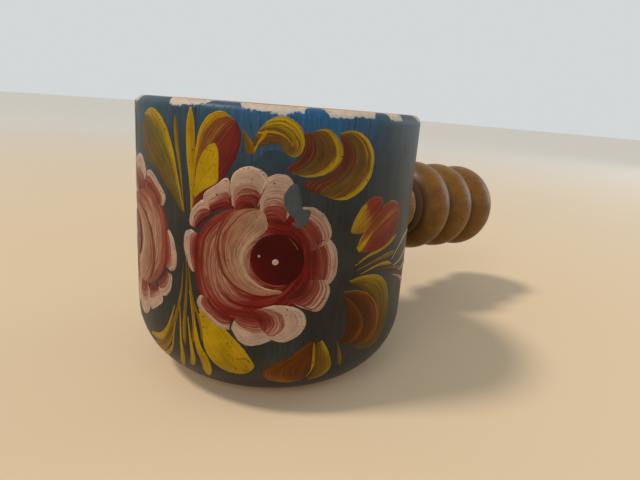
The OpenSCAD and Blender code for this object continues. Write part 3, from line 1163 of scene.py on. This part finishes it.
thread = bmesh.new()
flank = (1 - CREST - ROOT) / 2
tooth = [
    (0.0, CREST_R), (CREST, CREST_R), (CREST + flank, ROOT_R), (1 - flank, ROOT_R), (1.0, CREST_R)
]
first = math.floor(TIP / PITCH) - 1
turns = math.ceil(SHOULDER / PITCH) - first + 1
corners = [thread.verts.new((r, 0, (first + share) * PITCH)) for share, r in tooth]
line = [thread.edges.new(pair) for pair in zip(corners, corners[1:])]
bmesh.ops.subdivide_edges(thread, edges=line, cuts=2)
bmesh.ops.spin(
    thread,
    geom=thread.verts[:] + thread.edges[:],
    cent=(0, 0, 0),
    axis=(0, 0, 1),
    dvec=(0, 0, PITCH / STEPS),
    angle=2 * math.pi * turns,
    steps=STEPS * turns,
)
bmesh.ops.remove_doubles(thread, verts=thread.verts, dist=0.001)
print(turns, "turns of thread,", len(thread.faces), "faces")

# %% Ends, chamfer and place
for end, out in ((TIP, -1), (SHOULDER, 1)):
    cut = bmesh.ops.bisect_plane(
        thread,
        geom=thread.verts[:] + thread.edges[:] + thread.faces[:],
        plane_co=(0, 0, end),
        plane_no=(0, 0, out),
        clear_outer=True,
    )["geom_cut"]
    rim = [e for e in cut if isinstance(e, bmesh.types.BMEdge)]
    bmesh.ops.contextual_create(thread, geom=rim)
for vert in thread.verts:
    allowed = CREST_R - CHAMFER + max(vert.co.z - TIP, 0.0)
    flat = vert.co.xy.length
    if flat > allowed:
        vert.co.xy *= allowed / flat
bmesh.ops.recalc_face_normals(thread, faces=thread.faces)
for face in thread.faces:
    face.smooth = len(face.verts) < 5
place_screw = Matrix.Translation(SCREW_POINT) @ Matrix.Rotation(tilt, 4, "Y") @ Matrix.Scale(MM, 4)
bmesh.ops.transform(thread, matrix=place_screw, verts=thread.verts)
open_edges = [e for e in thread.edges if not e.is_manifold]
print("thread:", len(thread.faces), "faces,", len(open_edges), "open edges")
screw_mesh = bpy.data.meshes.new("wooden_screw")
thread.to_mesh(screw_mesh)
thread.free()
screw_mesh.set_sharp_from_angle(angle=math.radians(35))
screw = in_scene("wooden_screw", screw_mesh)
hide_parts("screw")
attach(screw, "screw")

# %% [markdown]
# ## Bare cut wood
#
# The screw and its dowel are beech, cut and left bare so that the thread can be waxed. Bare
# wood scatters its highlight away, so it looks dull and dry, and its cut fibres catch the
# light along the axis. The wood is coloured darker towards the roots of the thread.

# %% Bare beech for the screw
bare, tree, shader = new_material("bare beech cut with a screw box")
in_mm, from_axis = along_screw(tree)
grain = blotches(tree, in_mm, 0.5, (1, 1, 14), 4.0)
beech = add(
    tree, "ValToRGB", [grain], stops=[(0.25, "#7a5530"), (0.5, "#956d42"), (0.75, "#aa8356")]
)
# Darker towards the roots of the thread
darker_to_root = add(tree, "MapRange", [from_axis, ROOT_R, CREST_R, 0.45, 0.0])
beech = add(tree, "Mix", {0: darker_to_root, 6: beech, 7: linear("#5b3c20")}, **TINT)
bump = add(tree, "Bump", {"Height": grain, "Distance": 0.08 * MM, "Strength": 0.7})
feed(tree, shader, {"Base Color": beech, "Roughness": 0.62, "Normal": bump})
finish(screw, bare)
finish(frame["nodes"]["dowel"], bare)
print("screw finish:", len(tree.nodes), "nodes")

# %% [markdown]
# ## Floor, room and lamps
#
# The cup stands on pale cotton cloth in a plain room. A sun with a wide disc stands in for
# a window on the left, and lays a soft shadow to the right. The world fills the shadows,
# and a mirror in the object sees the same pale room as the eye does. Two square lamps give
# the far edge its thin light and the front its even tone.

# %% Floor
floor_bm = bmesh.new()
bmesh.ops.create_grid(floor_bm, x_segments=1, y_segments=1, size=4.0)
floor_mesh = bpy.data.meshes.new("floor")
floor_bm.to_mesh(floor_mesh)
floor_bm.free()
floor = in_scene("floor", floor_mesh)
cloth, tree, shader = new_material("pale cotton cloth")
place = add(tree, "TexCoord", out="Object")
away = add(tree, "VectorMath", [place], out="Value", operation="LENGTH")
fade = add(tree, "MapRange", [away, 0.12, 0.9])
pale = add(tree, "Mix", {0: fade, 6: linear("#dcc6a6"), 7: linear("#dcdad4")}, **TINT)
feed(tree, shader, {"Base Color": pale, "Roughness": 0.9})
finish(floor, cloth)
print("floor", round(floor.dimensions.x, 1), "m wide")

# %% Room
world = bpy.data.worlds.new("room")
world.use_nodes = True
scene.world = world
tree = world.node_tree
camera_ray = add(tree, "LightPath", out="Is Camera Ray")
seen = camera_ray
for ray in ("Is Glossy Ray", "Is Transmission Ray"):
    seen = add(tree, "Math", [seen, camera_ray.node.outputs[ray]], operation="MAXIMUM")
walls = add(tree, "Mix", {0: seen, 6: linear("#9ca1a4"), 7: linear("#d3d7d8")}, **TINT)
feed(tree, tree.nodes["Background"], [walls])
print("room:", len(tree.nodes), "nodes")


# %% Lamps
def light(name, kind, energy, colour, place):
    """A lamp at a place that faces the cup."""
    data = bpy.data.lights.new(name, kind)
    data.energy, data.color = energy, linear(colour)[:3]
    made = in_scene(name, data)
    made.location = place
    made.rotation_euler = (Vector((0.02, 0, 0.03)) - place).to_track_quat("-Z", "Y").to_euler()
    return made


key = light("key light", "SUN", 1.75, "#fff2e2", polar(148, 500, 800))
key.data.angle = math.radians(10)
rear = light("edge lamp", "AREA", 1.3, "#f2f4f6", polar(-19, 900, 300))
rear.data.size = 0.5
fill = light("fill lamp", "AREA", 4.2, "#fff8f0", polar(-150, 900, 450))
fill.data.size = 0.7
fill.visible_glossy = False  # it evens out the front without a reflection of its own
print("lamps:", [lamp.name for lamp in (key, rear, fill)])
